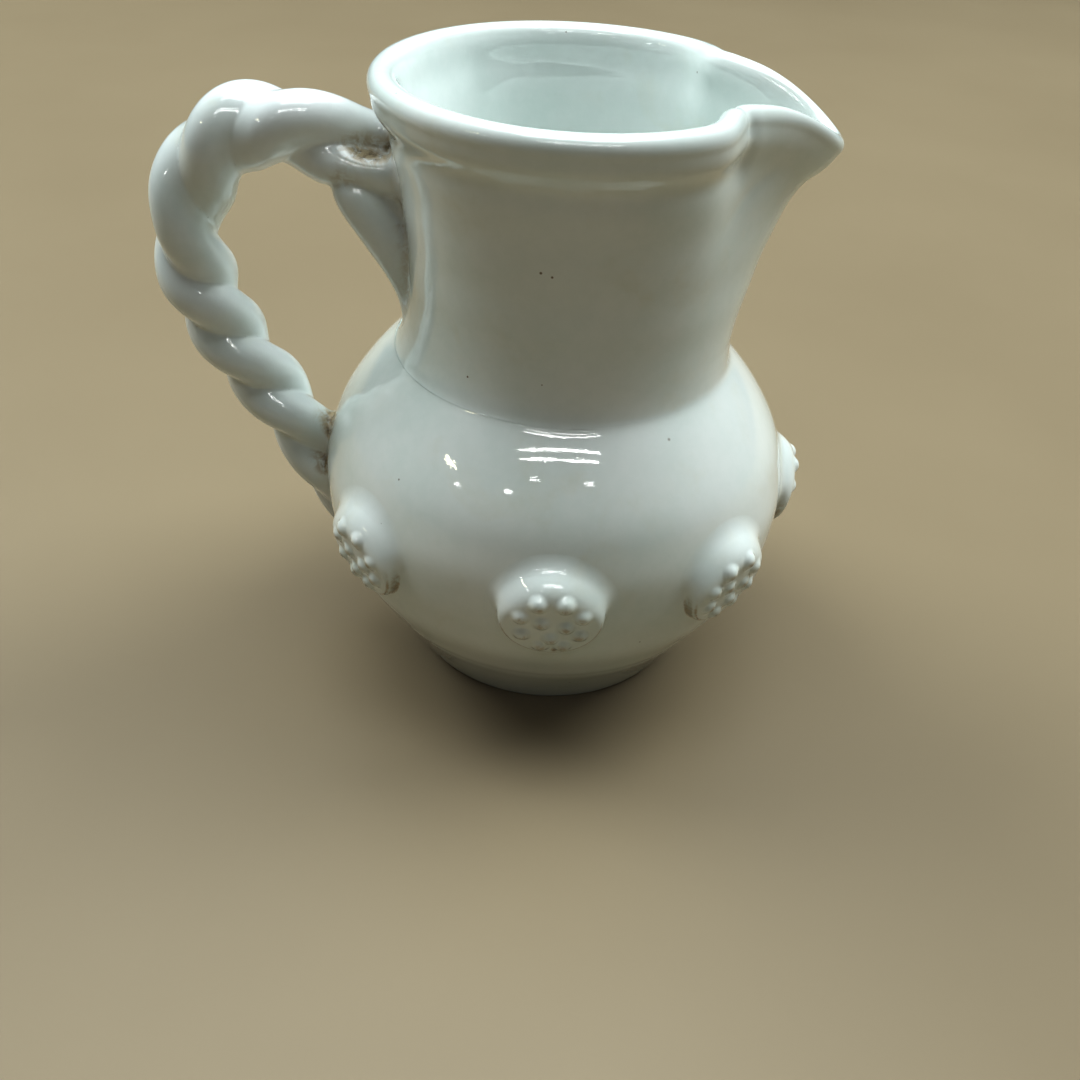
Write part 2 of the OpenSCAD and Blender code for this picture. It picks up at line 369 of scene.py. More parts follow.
def over_line(n):
    """The belly's outline, from the crease up to the seam with the neck."""
    return spline(
        [
            [CREASE_R, CREASE_Z],
            [CREASE_R + 5.6, CREASE_Z + 11.6],
            [BELLY_R, BELLY_Z],
            [BELLY_R - 1.5, BELLY_Z + 9.9],
            [BELLY_R - 5.2, BELLY_Z + 17.8],
            [BELLY_R - 10.1, BELLY_Z + 24.1],
            [SEAM_R, SEAM_Z],
        ],
        n,
    )


def soften(grid, middle, reach, rounds):
    """Rounds the corner at row `middle` by repeated averaging along the profile."""
    rows = np.arange(len(grid))
    w = bell(rows - middle, reach)[:, None, None] * 0.5
    for _ in range(rounds):
        mean = 0.5 * (grid[2:] + grid[:-2])
        grid[1:-1] += w[1:-1] * (mean - grid[1:-1])
    return grid


def turned(line):
    """The same profile line in every column."""
    line = np.asarray(line, float)
    return np.repeat(line[:, None, :], COLS, 1)


def body_rows():
    """Radius and height for every row and column, and the rows where pieces meet."""
    foot_flat = [[r, 0.0] for r in (0.0, 7.0, 14.0, 21.0, 26.0)]
    foot_edge = [[FOOT_R - 1.8, 0.02], [FOOT_R - 1.1, 0.08], [FOOT_R - 0.55, 0.28], [FOOT_R - 0.2, 0.62]]
    foot_low = np.array(foot_flat + foot_edge)
    foot_side = spline([[FOOT_R, 1.1], [FOOT_R + 2.1, 5.4], [FOOT_R + 5.1, 10.4], [CREASE_R, CREASE_Z]], 10)
    over = over_line(22)
    outer_low = np.vstack([foot_low, foot_side[:-1], over[:-1]])
    crease = len(foot_low) + len(foot_side) - 1
    seam = len(outer_low)
    neck = spline(
        [
            [SEAM_R - HALF, 0],
            [NECK_R + 0.6, 0.07],
            [NECK_R + 0.1, 0.16],
            [NECK_R, 0.32],
            [NECK_R + 0.35, 0.5],
            [NECK_R + 1.2, 0.7],
            [NECK_R + 2.4, 0.86],
            [RIM_R, 1],
        ],
        14,
    )
    r, v = neck[:, :1], neck[:, 1:]
    mid = np.stack([wall_r(DEG[None, :], r, v), SEAM_Z + v * (edge_z(DEG[None, :]) - SEAM_Z)], -1)
    along = unit(np.gradient(mid, axis=0))
    across = np.stack([-along[..., 1], along[..., 0]], -1)
    flat = step(0.0, 0.06, v)[..., None]
    across = unit(across * flat + np.array([-1.0, 0.0]) * (1.0 - flat))
    # half the wall's thickness outside and inside, with the bead under the rim and the fold by the spout
    spout = bell(DEG, 14.0)[None, :]
    half = HALF - 0.35 * spout * v**3
    fold = (bell(DEG + PINCH_ANGLE, 2.3) + 0.3 * bell(DEG - PINCH_ANGLE, 3.0))[None, :] * bell(v - 1.0, 0.08)
    bead = 0.62 * bell(v - 0.955, 0.042) - 0.34 * bell(v - 0.862, 0.045)
    near_spout = step(35.0, 29.0, np.abs(DEG))[None, :]
    bead = bead + near_spout * (0.85 * bell(v - 0.945, 0.065) - bead)
    half_out = (half + bead - 0.34 * fold)[..., None]
    half_in = (half + 0.95 * bell(v - 0.985, 0.065) * (1.0 - 0.7 * spout) - 0.10 * fold)[..., None]
    outer = mid - half_out * across
    inner = mid + half_in * across
    # rounded top of the rim, from outside over to inside
    tip, top = -across[-1], along[-1]
    high = 0.5 * (half_out[-1] + half_in[-1])
    cap = []
    for w in np.radians(np.arange(10, 180, 10)):
        wide = half_out[-1] if w < 0.5 * np.pi else half_in[-1]
        cap.append(mid[-1] + wide * math.cos(w) * tip + high * math.sin(w) * top)
    grid = np.concatenate([turned(outer_low), outer, np.array(cap), inner[::-1]])
    seam_in = len(grid) - 1
    # inside of the belly, one wall in from its outline, down to the middle of the floor
    line = np.vstack([under_line(8), over_line(12)[1:]])
    t = unit(np.gradient(line, axis=0))
    inset = line + WALL * np.stack([-t[:, 1], t[:, 0]], 1)
    inset = inset[(inset[:, 0] > 1.5) & (inset[:, 1] < SEAM_Z - 1.6)][::-1]
    centre = np.array([[0.0, FLOOR + WALL]])
    grid = np.concatenate([grid, turned(np.vstack([inset, centre]))])
    grid = soften(grid, seam - 45, 34.0, 60)
    grid = soften(grid, crease, 4.0, 7)
    grid = soften(grid, seam, 9.0, 36)
    grid = soften(grid, seam_in, 7.0, 10)
    groove = 0.12 * bell(np.arange(len(grid)) - crease + 1.0, 3.4)
    grid[..., 0] -= groove[:, None]
    return grid, crease, seam, seam_in


def round_axis(grid):
    """Radius and height in each column as points in space."""
    c, s = np.cos(TURN)[None, :], np.sin(TURN)[None, :]
    return np.stack([grid[..., 0] * c, grid[..., 0] * s, grid[..., 1]], -1)


ROWS, CREASE, SEAM, SEAM_IN = body_rows()
SHAPE = round_axis(ROWS)


def grid_normals(p):
    """Normals shared by all turned pieces, so that no edge shows where they meet."""
    q = wobble(p)
    du = np.roll(q, -1, 1) - np.roll(q, 1, 1)
    dv = np.gradient(q, axis=0)
    n = np.cross(du, dv)
    n[0] = (0.0, 0.0, -1.0)
    n[-1] = (0.0, 0.0, 1.0)
    return unit(n)


NORMALS = grid_normals(SHAPE)


def add_rows(b, lo, hi, stain_and_shade=None):
    """Rows lo to hi of the body; a row at the axis becomes a fan."""
    rows = list(range(lo, hi + 1))
    poles = [r for r in rows if ROWS[r, 0, 0] < AXIS_R]
    keep = [r for r in rows if r not in poles]
    p = SHAPE[keep]
    faces = [grid_quads(len(keep), COLS)]
    verts, norms = p.reshape(-1, 3), NORMALS[keep].reshape(-1, 3)
    for r in poles:
        first = r < keep[0]
        ring = np.arange(COLS) + (0 if first else (len(keep) - 1) * COLS)
        faces.append(fan(len(verts), ring, first))
        verts = np.vstack([verts, SHAPE[r, :1]])
        norms = np.vstack([norms, [[0.0, 0.0, -1.0 if first else 1.0]]])
    b.add(verts, faces, norms, stain_and_shade(verts) if stain_and_shade else None)


def add_hidden(b, line, normal_sign):
    """Contact face between two pieces, given as radius and height from outside to inside."""
    line = np.asarray(line, float)
    keep = line[line[:, 0] > AXIS_R]
    rings = round_axis(turned(keep))
    verts = rings.reshape(-1, 3)
    faces = [grid_quads(len(keep), COLS)]
    if normal_sign < 0:
        faces = [f[:, ::-1] for f in faces]
    if line[-1, 0] <= AXIS_R:
        ring = np.arange(COLS) + (len(keep) - 1) * COLS
        faces.append(fan(len(verts), ring, normal_sign < 0))
        verts = np.vstack([verts, [[0.0, 0.0, line[-1, 1]]]])
    n = np.tile([0.0, 0.0, float(normal_sign)], (len(verts), 1))
    b.add(verts, faces, n)


# x, y, z, size and amount: one spot on the rim and two beside the handle
NECK_STAINS = [
    (-26.0, -20.5, 115.8, 1.1, 0.55),
    (-31.6, -4.6, 102.4, 2.3, 0.85),
    (-30.6, -6.2, 96.5, 1.3, 0.40),
]


def neck_stain(v):
    out = np.zeros(len(v))
    for x, y, z, size, amount in NECK_STAINS:
        out = np.maximum(out, amount * bell(np.linalg.norm(v - np.array([x, y, z]), axis=1), size))
    return out


def make_body():
    under = under_line(6)[::-1]
    under = np.vstack([ROWS[CREASE, :1], under[1:]])
    b = Build()
    add_rows(b, 0, CREASE)
    add_hidden(b, under, 1)
    b.make("foot_turned", "foot_glaze", ["foot"])

    ring = np.linspace(ROWS[SEAM, 0], ROWS[SEAM_IN, 0], 5)
    b = Build()
    add_rows(b, CREASE, SEAM)
    add_hidden(b, ring, 1)
    add_rows(b, SEAM_IN, len(ROWS) - 1)
    add_hidden(b, under, -1)
    b.make("belly_thrown", "belly_glaze", ["belly"])

    b = Build()
    add_rows(b, SEAM, SEAM_IN, neck_stain)
    add_hidden(b, ring, -1)
    b.make("neck_and_spout", "neck_glaze", ["neck"])


make_body()

# ---------------------------------------------------------------- body as a distance, for what joins it
BACK = ROWS[CREASE : SEAM + 92, COLS // 2]  # the outline at the handle, to just under the rim
BACK = BACK[np.argsort(BACK[:, 1])]
SLOPE = np.gradient(BACK[:, 0], BACK[:, 1])


def body_distance(p):
    """Distance from the body's outside, near enough close to it."""
    rho = np.hypot(p[..., 0], p[..., 1])
    z = p[..., 2]
    r = np.interp(z, BACK[:, 1], BACK[:, 0])
    s = np.interp(z, BACK[:, 1], SLOPE)
    return (rho - r) / np.sqrt(1.0 + s * s)


# ---------------------------------------------------------------- medallions
DISC_REACH, DISC_Z, DISC_R, DISC_TILT = 49.0, 37.9, 9.2, 10.0
TILT = math.radians(90.0 + DISC_TILT)
DISC_X = np.array([math.cos(TILT), 0.0, -math.sin(TILT)])
DISC_Y = np.array([0.0, 1.0, 0.0])
DISC_N = np.array([math.sin(TILT), 0.0, math.cos(TILT)])
DISC_C = np.array([DISC_REACH, 0.0, DISC_Z])
BUMPS = [(5.8, 45 * k + 24) for k in range(8)] + [(1.9, 243), (2.8, 86), (3.2, 0)]
BUMP_R, BUMP_SUNK, BUMP_SHIFT = 1.85, 1.05, 0.5
CORE_X = 30.0  # where the rays that find a medallion's surface start
START = 34.0
CHIPPED = 6  # the medallion with a dark chip at its lower edge
PLACES = (0, 1, 2, 3, 5, 6, 7)  # eighths of a turn from the spout; the handle takes place 4
JOGS = {0: 2.4, 5: -2.4, 6: 1.5}  # degrees that a medallion sits off its even place


def crown(reach):
    """Height of the domed face at a distance from its middle."""
    return 0.15 - 0.85 * (reach / DISC_R) ** 2.4


def bump_places(rng):
    """Centres in the face's plane, height and radius for the ring of eight and the inner three."""
    out = []
    for reach, turn in BUMPS:
        w = math.radians(turn + rng.normal(0.0, 2.5))
        d = reach + rng.normal(0.0, 0.12)
        height = crown(d) - BUMP_SUNK + rng.normal(0.0, 0.05)
        radius = BUMP_R + rng.normal(0.0, 0.04)
        out.append((d * math.cos(w) + BUMP_SHIFT, d * math.sin(w), height, radius))
    return out


def on_disc(p):
    """A point in the disc's own axes: down its face, across it, and out of it."""
    d = p - DISC_C
    return d @ DISC_X, d @ DISC_Y, d @ DISC_N


def medallion_distance(p, bumps):
    """Distance from the belly with the medallion joined on, softly above and with a crease below."""
    u, w, h = on_disc(p)
    rr = np.sqrt(u * u + w * w) + 1e-9
    upper = -u / rr
    edge = 0.05 * np.sin(3.0 * np.arctan2(w, u) + 1.3)
    edge = edge - 1.15 * step(0.1, 1.0, upper) + 0.2 * step(0.2, 1.0, -upper)
    side = (rr - (DISC_R + 0.05 + edge + 0.15 * np.maximum(0.0, -h))) * 0.985
    top = h - crown(rr)
    k = 0.9 + 2.3 * step(-0.3, 0.8, upper)
    q1, q2 = np.maximum(side + k, 0.0), np.maximum(top + k, 0.0)
    disc = np.minimum(np.maximum(side + k, top + k), 0.0) + np.sqrt(q1 * q1 + q2 * q2) - k
    for bx, by, bz, br in bumps:
        ball = np.sqrt((u - bx) ** 2 + (w - by) ** 2 + (h - bz) ** 2) - br
        disc = soft_min(disc, ball, 0.5)
    join = 0.18 + 2.5 * step(-0.25, 0.45, upper)
    return soft_min(body_distance(p), disc, join)


def cast(core, ray, bumps):
    """The points where rays from inside meet the medallion's surface."""
    t = np.full(ray.shape[:-1], START)
    for _ in range(70):
        t = t - 0.85 * medallion_distance(core + ray * t[..., None], bumps)
    return core + ray * t[..., None]


def medallion_normals(p, bumps):
    small = 0.04 * np.eye(3)
    slopes = [medallion_distance(p + e, bumps) - medallion_distance(p - e, bumps) for e in small]
    return unit(np.stack(slopes, -1))


def medallion_shade_and_chip(p, bumps, rng, chipped):
    """Painted shade and warm reflection in tan on each bump, painted shade along the lower edge and in the
    crack round it, and the dark chip on the chipped one.
    """
    u, w, h = on_disc(p)
    rr = np.hypot(u, w)
    stain_and_shade = np.zeros(p.shape[:2])
    # painted shade: a tan blob over each bump, a little below its middle
    for bx, by, _bz, _br in bumps:
        du, dw = u - bx, w - by
        dist = np.hypot(1.1 * (du - 0.1), dw)
        stain_and_shade = np.maximum(stain_and_shade, bell(dist, 1.1) * (0.66 + 0.16 * rng.random()))
    stain_and_shade = stain_and_shade * step(9.1, 8.4, rr)
    # painted shade: a dark line in the crack under the disc and along its lower edge
    below = step(-0.35, 0.45, u / (rr + 1e-9))
    seam = bell(rr - (DISC_R + 0.45), 0.30) * below * (h < -1.2)
    lip = bell(rr - 9.05, 0.24) * below * (h > -2.4)
    stain_and_shade = np.maximum(np.maximum(stain_and_shade, 0.85 * seam), 0.9 * lip)
    if chipped:
        chip = np.hypot(u - 7.9, w - 0.9)
        stain_and_shade = np.maximum(stain_and_shade, bell(chip, 0.75))
    return stain_and_shade


def make_medallion(index, place):
    rng = np.random.default_rng(40 + index)
    bumps = bump_places(rng)
    cols = 252
    # rings are closest together across the disc's edge
    face, edge, around = np.linspace(0.18, 7.0, 40), np.linspace(7.1, 10.8, 44), np.linspace(11.0, 16.0, 20)
    ring = np.concatenate([face, edge, around])
    turn = 2.0 * np.pi * np.arange(cols) / cols
    core = np.array([CORE_X, 0.0, DISC_Z])
    # the ray through each point of a flat target in front of the belly
    y = ring[:, None] * np.cos(turn)[None, :]
    z = ring[:, None] * np.sin(turn)[None, :]
    ray = unit(np.stack([np.full_like(y, BELLY_R - CORE_X), y, z], -1))
    p = cast(core, ray, bumps)
    n = medallion_normals(p, bumps)
    stain_and_shade = medallion_shade_and_chip(p, bumps, rng, index == CHIPPED)
    # sink the rim of the patch just under the belly, so the belly carries on from it
    sink = step(0.86, 1.0, ring / ring[-1])[:, None] * 0.06
    p = p - n * sink[..., None]
    back = p[-1] - ray[-1] * 1.2
    centre = np.array([[BELLY_R - 2.0, 0.0, DISC_Z]])
    a = math.radians(45.0 * place + JOGS.get(place, 0.0))
    rot = np.array([[math.cos(a), -math.sin(a), 0.0], [math.sin(a), math.cos(a), 0.0], [0.0, 0.0, 1.0]])

    faces = grid_quads(len(ring), cols)[:, ::-1]
    tip = cast(core, np.array([[1.0, 0.0, 0.0]]), bumps)
    verts = np.vstack([p.reshape(-1, 3), tip])
    norms = np.vstack([n.reshape(-1, 3), DISC_N[None]])
    painted_shade_and_chip = np.concatenate([stain_and_shade.reshape(-1), [0.0]])
    b = Build()
    b.add(verts @ rot.T, [faces, fan(len(verts) - 1, np.arange(cols), False)], norms @ rot.T, painted_shade_and_chip)
    # closed at the back, inside the belly's wall
    rim = np.vstack([p[-1], back])
    wall = grid_quads(2, cols)[:, ::-1]
    cap = fan(2 * cols, np.arange(cols) + cols, True)
    hidden = np.vstack([rim, centre]) @ rot.T
    b.add(hidden, [wall, cap], np.tile(-(rot @ np.array([1.0, 0.0, 0.0])), (len(hidden), 1)))
    name = f"medallion_{index}"
    b.make(f"{name}_relief", "medallion_glaze", [name])


for number, place in enumerate(PLACES, 1):
    make_medallion(number, place)

# ---------------------------------------------------------------- handle, two coils and a tail
COIL_R, COIL_OFF = 4.75, 2.7
# out from the axis, height, twist in degrees, the coils' offset from the path, their radius
HANDLE = spline(
    [
        [27.6, 100.6, -45, COIL_OFF + 0.6, COIL_R - 1.0],
        [38.5, 102.0, -38, COIL_OFF + 0.4, COIL_R - 0.5],
        [50.0, 105.4, 64, COIL_OFF, COIL_R],
        [60.5, 103.0, 230, COIL_OFF, COIL_R],
        [67.5, 94.0, 376, COIL_OFF, COIL_R],
        [70.0, 81.5, 501, COIL_OFF, COIL_R],
        [66.4, 68.5, 701, COIL_OFF, COIL_R - 0.1],
        [60.1, 56.8, 883, COIL_OFF - 0.1, COIL_R - 0.2],
        [53.0, 46.2, 1037, COIL_OFF - 0.2, COIL_R - 0.3],
        [48.6, 34.0, 1181, COIL_OFF - 0.8, COIL_R - 0.8],
        [45.0, 22.5, 1300, COIL_OFF - 2.1, COIL_R - 2.6],
    ],
    24,
)
# out from the axis, y, height and radius
TAIL = spline(
    [
        [39.4, -2.2, 97.6, 3.4],
        [36.9, -3.2, 94.2, 4.2],
        [33.4, -3.6, 89.2, 4.2],
        [30.6, -3.6, 83.8, 3.5],
        [28.7, -3.4, 77.6, 2.5],
        [27.4, -3.2, 70.5, 1.2],
    ],
    12,
)


def coil_path(side):
    """Middle line and radius of the coil that starts `side` degrees round the handle's path."""
    head = unit(np.gradient(HANDLE[:, :2], axis=0))
    out = np.stack([-head[:, 1], head[:, 0]], 1)
    turn = np.radians(HANDLE[:, 2] + side)
    x, y = HANDLE[:, 3] * np.cos(turn), HANDLE[:, 3] * np.sin(turn)
    c = np.stack([-(HANDLE[:, 0] + x * out[:, 0]), -y, HANDLE[:, 1] + x * out[:, 1]], 1)
    return c, HANDLE[:, 4]


# x, y, z, radius: clay pressed into the corner between the tail and the neck
WEB = np.array(
    [
        [-31.0, -1.0, 101.0, 2.6],
        [-32.4, -1.6, 95.0, 3.6],
        [-30.6, -1.8, 88.0, 3.4],
        [-29.0, -1.8, 82.0, 2.6],
    ]
)
POCKET = np.array([-34.6, -3.6, 103.4])  # the hollow left between the coils and the neck
CROOK = np.array([-35.0, -4.0, 103.2])  # the stain in that hollow
TAIL_STAIN = np.array([-39.5, -4.6, 100.0])
STRANDS = [
    ("handle_strand_a", "handle_coil_a"),
    ("handle_strand_b", "handle_coil_b"),
    ("handle_tail_strand", "handle_tail"),
]

PITCH = 0.34
LOW, HIGH = np.array([-77.5, -9.6, 16.5]), np.array([-25.0, 9.6, 113.5])
FAR = 9.0
COUNT = np.ceil((HIGH - LOW) / PITCH).astype(int) + 1
AXES = [(LOW[i] + PITCH * np.arange(COUNT[i])).astype(np.float32) for i in range(3)]


def tube_field(path, radius, margin=2.6):
    """Distance to a tapering tube on the grid, worked out only near each short length."""
    field = np.full(COUNT, FAR, np.float32)
    for a, b, ra, rb in zip(path[:-1], path[1:], radius[:-1], radius[1:]):
        reach = max(ra, rb) + margin
        lo = np.maximum(np.floor((np.minimum(a, b) - reach - LOW) / PITCH).astype(int), 0)
        hi = np.minimum(np.ceil((np.maximum(a, b) + reach - LOW) / PITCH).astype(int) + 1, COUNT)
        if np.any(hi <= lo):
            continue
        x = AXES[0][lo[0] : hi[0], None, None] - a[0]
        y = AXES[1][None, lo[1] : hi[1], None] - a[1]
        z = AXES[2][None, None, lo[2] : hi[2]] - a[2]
        d = b - a
        t = np.clip((x * d[0] + y * d[1] + z * d[2]) / (d @ d), 0.0, 1.0)
        away = np.sqrt((x - t * d[0]) ** 2 + (y - t * d[1]) ** 2 + (z - t * d[2]) ** 2)
        dist = away - (ra + (rb - ra) * t)
        part = field[lo[0] : hi[0], lo[1] : hi[1], lo[2] : hi[2]]
        np.minimum(part, dist, out=part)
    return field


def blurred(f):
    """Each value averaged a little with its neighbours along every axis."""
    for axis in range(3):
        g = np.pad(f, [(1, 1) if i == axis else (0, 0) for i in range(3)], mode="edge")
        n = f.shape[axis]
        f = 0.25 * np.take(g, range(n), axis) + 0.5 * f + 0.25 * np.take(g, range(2, n + 2), axis)
    return f


def sample(field, p):
    """Trilinear reading of a grid field at points."""
    q = (p - LOW) / PITCH
    i = np.clip(np.floor(q).astype(int), 0, COUNT - 2)
    f = q - i
    out = 0.0
    for corner in np.ndindex(2, 2, 2):
        w = np.where(corner, f, 1 - f)
        x, y, z = (i + corner).T
        out = out + w[:, 0] * w[:, 1] * w[:, 2] * field[x, y, z]
    return out


def gradient_at(field, p):
    """Rise of the field over half a millimetre along each axis."""
    return np.stack([sample(field, p + e) - sample(field, p - e) for e in 0.25 * np.eye(3)], -1)


def surface_nets(inside, split, labels):
    """Smooth closed skins for several touching labels that share their vertices.

    inside is zero on the outer skin, and split is zero between two labels. Gives the points, the
    faces, the labels on both sides of each face, and which points lie on the outer skin.
    """
    cells = tuple(c - 1 for c in labels.shape)
    skin_sum, skin_hits = np.zeros((*cells, 3), np.float32), np.zeros(cells, np.float32)
    inner_sum, inner_hits = np.zeros((*cells, 3), np.float32), np.zeros(cells, np.float32)
    quads = []
    for axis in range(3):
        others = [i for i in range(3) if i != axis]
        cut_a = tuple(slice(0, -1) if i == axis else slice(None) for i in range(3))
        cut_b = tuple(slice(1, None) if i == axis else slice(None) for i in range(3))
        la, lb = labels[cut_a], labels[cut_b]
        skin = (la == 0) != (lb == 0)
        inner = (la != lb) & ~skin
        on_outside = (skin, inside, skin_sum, skin_hits)
        on_contact = (inner, split, inner_sum, inner_hits)
        for mask, field, tot, cnt in (on_outside, on_contact):
            # where the field is zero between two neighbours, as a share of the way
            fa, fb = field[cut_a], field[cut_b]
            gap = fa - fb
            differs = np.abs(gap) > 1e-6
            t = np.clip(np.where(differs, fa / np.where(differs, gap, 1.0), 0.5), 0.02, 0.98)
            w = mask.astype(np.float32)
            pos = []
            for i in range(3):
                base = np.arange(la.shape[i], dtype=np.float32)
                base = base.reshape([-1 if j == i else 1 for j in range(3)])
                pos.append((base + (t if i == axis else 0.0)) * w)
            for da in (0, 1):
                for db in (0, 1):
                    sl = [slice(None)] * 3
                    sl[others[0]] = slice(da, la.shape[others[0]] - 1 + da)
                    sl[others[1]] = slice(db, la.shape[others[1]] - 1 + db)
                    sl = tuple(sl)
                    cnt += w[sl]
                    for i in range(3):
                        tot[..., i] += pos[i][sl]
        where = np.argwhere(la != lb)
        ok = np.all([(where[:, o] > 0) & (where[:, o] < labels.shape[o] - 1) for o in others], axis=0)
        where = where[ok]
        first, second = la[tuple(where.T)], lb[tuple(where.T)]
        corners = []
        for da, db in ((-1, -1), (0, -1), (0, 0), (-1, 0)):
            c = where.copy()
            c[:, others[0]] += da
            c[:, others[1]] += db
            corners.append(np.ravel_multi_index(c.T, cells))
        quad = np.stack(corners, 1)
        if axis == 1:
            quad = quad[:, ::-1]
        quads.append((quad, first, second))
    use = skin_hits > 0
    skin_mean = skin_sum / np.maximum(skin_hits, 1)[..., None]
    inner_mean = inner_sum / np.maximum(inner_hits, 1)[..., None]
    points = LOW + PITCH * np.where(use[..., None], skin_mean, inner_mean).reshape(-1, 3)
    quad = np.vstack([q[0] for q in quads])
    first = np.concatenate([q[1] for q in quads])
    second = np.concatenate([q[2] for q in quads])
    return points, quad, first, second, use.reshape(-1)


def handle_stain(p, normal, body, between_coils, beside_tail):
    """Brown at the joints with the body, in the upper hollow and along the valleys."""
    outside = np.maximum(sample(body, p), 0.0)
    joint = bell(outside, 1.9)
    valley = bell(sample(between_coils, p), 1.5)
    notch = bell(sample(beside_tail, p), 1.3)
    high = step(90.0, 96.0, p[:, 2])
    stain_and_shade = joint * (0.30 + 0.45 * valley) * (0.45 + 0.55 * high) + 0.10 * valley
    patch = bell(np.linalg.norm(p - TAIL_STAIN, axis=1), 3.4)
    crook = bell(np.linalg.norm((p - CROOK) / np.array([1.8, 1.2, 0.9]), axis=1), 2.7)
    stain_and_shade = np.maximum(stain_and_shade, patch * (0.30 + 0.5 * valley)) + 0.25 * notch * high
    stain_and_shade = np.maximum(stain_and_shade, crook * 1.3)
    # the upward side of the lower joint
    up = step(-0.1, 0.4, normal[:, 2]) * step(75.0, 70.0, p[:, 2]) * step(2.5, -1.0, p[:, 1])
    stain_and_shade = np.maximum(stain_and_shade, bell(outside, 3.4) * up * 0.95)
    return np.clip(stain_and_shade, 0.0, 1.0)


def drawn_onto(field, p, smooth):
    """Points moved on to the field's zero surface, those that are marked smooth."""
    for _ in range(3):
        g = gradient_at(field, p)
        size = np.maximum((g * g).sum(1), 1e-6)
        move = -(sample(field, p) * 0.5 / size)[:, None] * g
        move[~smooth] = 0.0
        p = p + np.clip(move, -0.1, 0.1)
    return p


def make_handle():
    path_a, radius = coil_path(0.0)
    path_b, _ = coil_path(180.0)
    tail_path = np.stack([-TAIL[:, 0], TAIL[:, 1], TAIL[:, 2]], 1)
    fa, fb = tube_field(path_a, radius), tube_field(path_b, radius)
    ft = np.minimum(tube_field(tail_path, TAIL[:, 3]), tube_field(WEB[:, :3], WEB[:, 3]))
    # the coils flow together most over the top, and a fine crease runs between them
    nodes = np.stack(np.meshgrid(*AXES, indexing="ij"), -1)
    arch = step(74.0, 96.0, nodes[..., 2]) * step(-41.0, -50.0, nodes[..., 0])
    rope = soft_min(fa, fb, 2.1 + 1.0 * arch)
    rope = rope + (0.26 - 0.12 * arch) * bell(fa - fb, 0.75)
    pocket = np.exp(-((nodes - POCKET) ** 2 / np.array([3.4, 2.4, 1.7]) ** 2).sum(-1))
    grip = soft_min(rope, ft, 0.8) + 0.30 * bell(rope - ft, 0.8) + 1.9 * pocket
    body = body_distance(nodes).astype(np.float32)
    joined = blurred(soft_min(grip, body, 2.4) + 0.09 * step(0.5, 1.9, grip))
    whole = np.maximum(np.maximum(joined, -(body + 1.3)), grip - 1.9)
    labels = np.where(fa <= fb, 1, 2).astype(np.int8)
    labels[(ft < fa) & (ft < fb)] = 3
    labels[whole > 0] = 0
    split = np.where((labels == 3) | (ft < np.minimum(fa, fb) + PITCH), 0.0, fa - fb)
    points, quad, first, second, on_skin = surface_nets(whole, split, labels)
    used = np.unique(quad)
    p = points[used]
    p = drawn_onto(joined, p, on_skin[used] & (np.abs(sample(joined, p)) < 0.25))
    normal = unit(gradient_at(joined, p))
    stain_and_shade = handle_stain(p, normal, body, fa - fb, ft - np.minimum(fa, fb))
    # a zero normal leaves a face its own, on contact faces and inside the body
    normal_inside = np.where((sample(body, p) < -0.25)[:, None], 0.0, normal)
    index = np.full(len(points), -1)
    outer = (first == 0) | (second == 0)
    for label, (name, node_name) in enumerate(STRANDS, 1):
        b = Build()
        for is_skin in (True, False):
            mine = ((first == label) | (second == label)) & (outer == is_skin)
            faces = quad[mine]
            flip = first[mine] != label
            faces = np.where(flip[:, None], faces[:, ::-1], faces)
            ids = np.unique(faces)
            if not len(ids):
                continue
            index[ids] = np.arange(len(ids))
            spot = np.searchsorted(used, ids)
            b.add(p[spot], index[faces], normal_inside[spot] if is_skin else None, stain_and_shade[spot])
        b.make(name, "handle_glaze", [node_name])


make_handle()


# ---------------------------------------------------------------- floor and light
FLOOR_R = 1.6


def make_floor():
    n = 48
    a = 2 * np.pi * np.arange(n) / n
    verts = [(0.0, 0.0, 0.0)] + [(FLOOR_R * math.cos(w), FLOOR_R * math.sin(w), 0.0) for w in a]
    faces = [(0, 1 + i, 1 + (i + 1) % n) for i in range(n)]
    mesh = bpy.data.meshes.new("floor")
    mesh.from_pydata(verts, [], faces)
    obj = bpy.data.objects.new("floor", mesh)
    bpy.context.scene.collection.objects.link(obj)
    mat = bpy.data.materials.new("floor_pale")
    mat.use_nodes = True
    t = mat.node_tree
    bsdf = t.nodes["Principled BSDF"]
    coord = t.nodes.new("ShaderNodeTexCoord")
    noise = t.nodes.new("ShaderNodeTexNoise")
    noise.inputs["Scale"].default_value = 9.0
    noise.inputs["Detail"].default_value = 4.0
    t.links.new(coord.outputs["Object"], noise.inputs["Vector"])
    ramp = t.nodes.new("ShaderNodeValToRGB")
    ramp.color_ramp.elements[0].color = (0.206, 0.167, 0.108, 1)
    ramp.color_ramp.elements[1].color = (0.242, 0.199, 0.132, 1)
    t.links.new(noise.outputs["Fac"], ramp.inputs["Fac"])
    t.links.new(ramp.outputs["Color"], bsdf.inputs["Base Color"])
    bsdf.inputs["Roughness"].default_value = 0.45
    mesh.materials.append(mat)


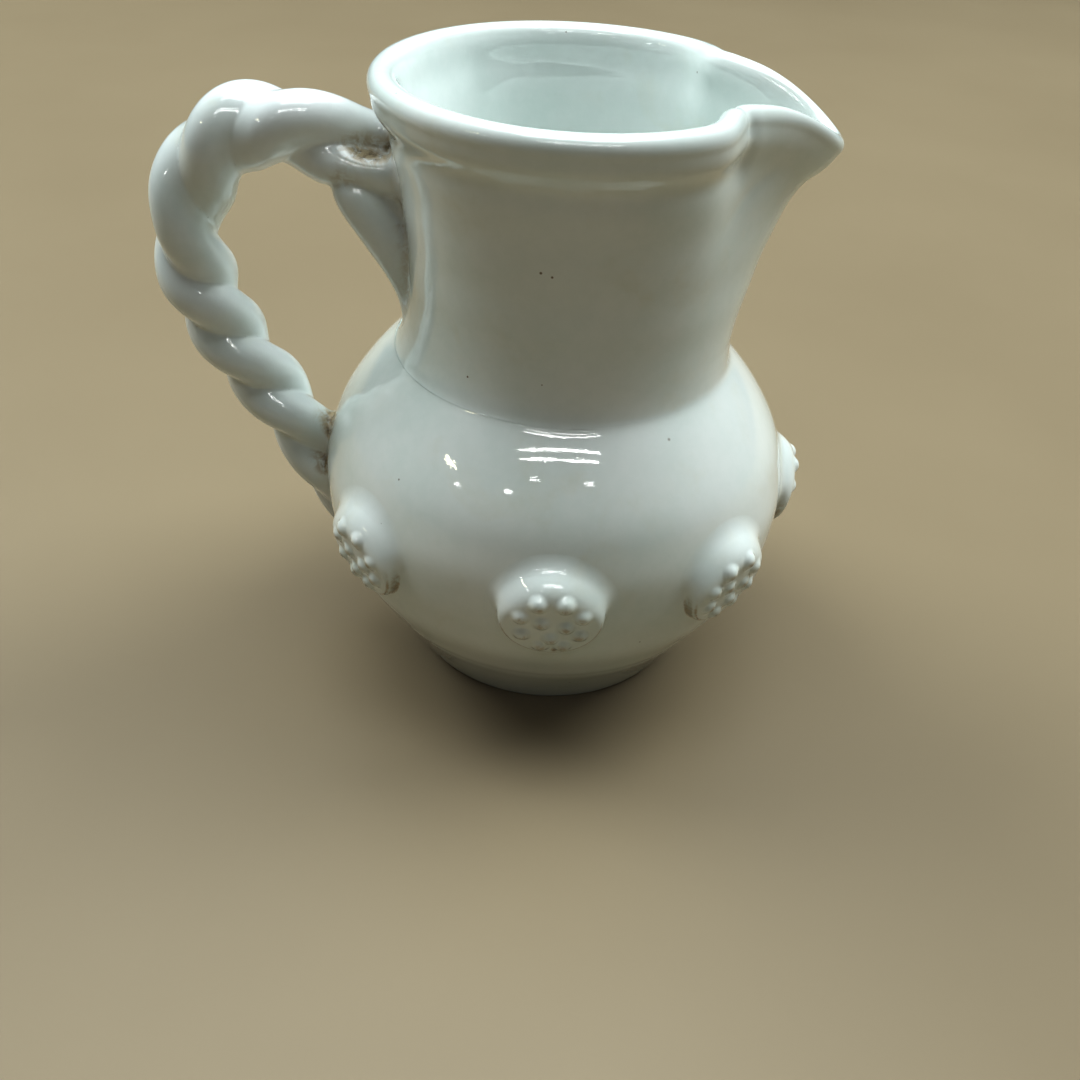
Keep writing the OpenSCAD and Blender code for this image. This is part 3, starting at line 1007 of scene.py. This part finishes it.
def area(name, place, target, size, power, colour=(1.0, 1.0, 1.0), shape="RECTANGLE"):
    """Area light at a place, turned to face a target, both in metres."""
    data = bpy.data.lights.new(name, "AREA")
    data.shape = shape
    data.size, data.size_y = size
    data.energy = power
    data.color = colour
    obj = bpy.data.objects.new(name, data)
    bpy.context.scene.collection.objects.link(obj)
    obj.location = place
    obj.rotation_mode = "QUATERNION"
    obj.rotation_quaternion = (Vector(target) - Vector(place)).to_track_quat("-Z", "Y")
    return obj


def make_light():
    world = bpy.data.worlds.new("world")
    bpy.context.scene.world = world
    world.use_nodes = True
    bg = world.node_tree.nodes["Background"]
    bg.inputs["Color"].default_value = (0.95, 0.97, 0.84, 1.0)
    bg.inputs["Strength"].default_value = 0.035
    middle, shoulder = (0.0, 0.0, 0.06), (0.0, -0.034, 0.065)
    cool, warm, white = (0.925, 0.985, 1.0), (1.0, 0.93, 0.66), (1.0, 1.0, 1.0)
    area("overhead", (0.0, 0.45, 1.42), middle, (1.3, 0.9), 9.5, cool)
    area("top", (0.0, -0.06, 1.50), middle, (0.9, 0.6), 7.0, cool)
    for side in (-1.0, 1.0):
        place = (0.88 * side, 0.50, 0.98)
        panel = area(f"side_{int(side) + 2}", place, middle, (0.9, 1.0), 21.5, cool, "ELLIPSE")
        panel.visible_glossy = False
    area("tube_1", (0.05, -0.88, 1.31), shoulder, (1.00, 0.024), 2.1)
    # the lamps below show only as small bright spots on the glaze
    glints = [
        area("tube_2", (0.05, -0.98, 1.22), shoulder, (0.96, 0.024), 2.1),
        area("lamp_1", (-1.10, -0.66, 0.86), shoulder, (0.22, 0.030), 0.40, warm, "ELLIPSE"),
        area("lamp_2", (-1.02, -0.88, 0.78), shoulder, (0.10, 0.030), 0.18, white, "ELLIPSE"),
        area("lamp_3", (-0.52, -1.18, 0.94), shoulder, (0.08, 0.025), 0.12, white, "ELLIPSE"),
        area("lamp_4", (-0.22, -1.15, 1.07), shoulder, (0.12, 0.022), 0.14, white, "ELLIPSE"),
        area("lamp_5", (0.42, -1.13, 1.05), shoulder, (0.12, 0.022), 0.14, white, "ELLIPSE"),
    ]
    for lamp in glints:
        lamp.visible_diffuse = False
    view = bpy.context.scene.view_settings
    view.view_transform = "Standard"
    view.gamma = 0.82
    view.exposure = 0.05


make_floor()
make_light()
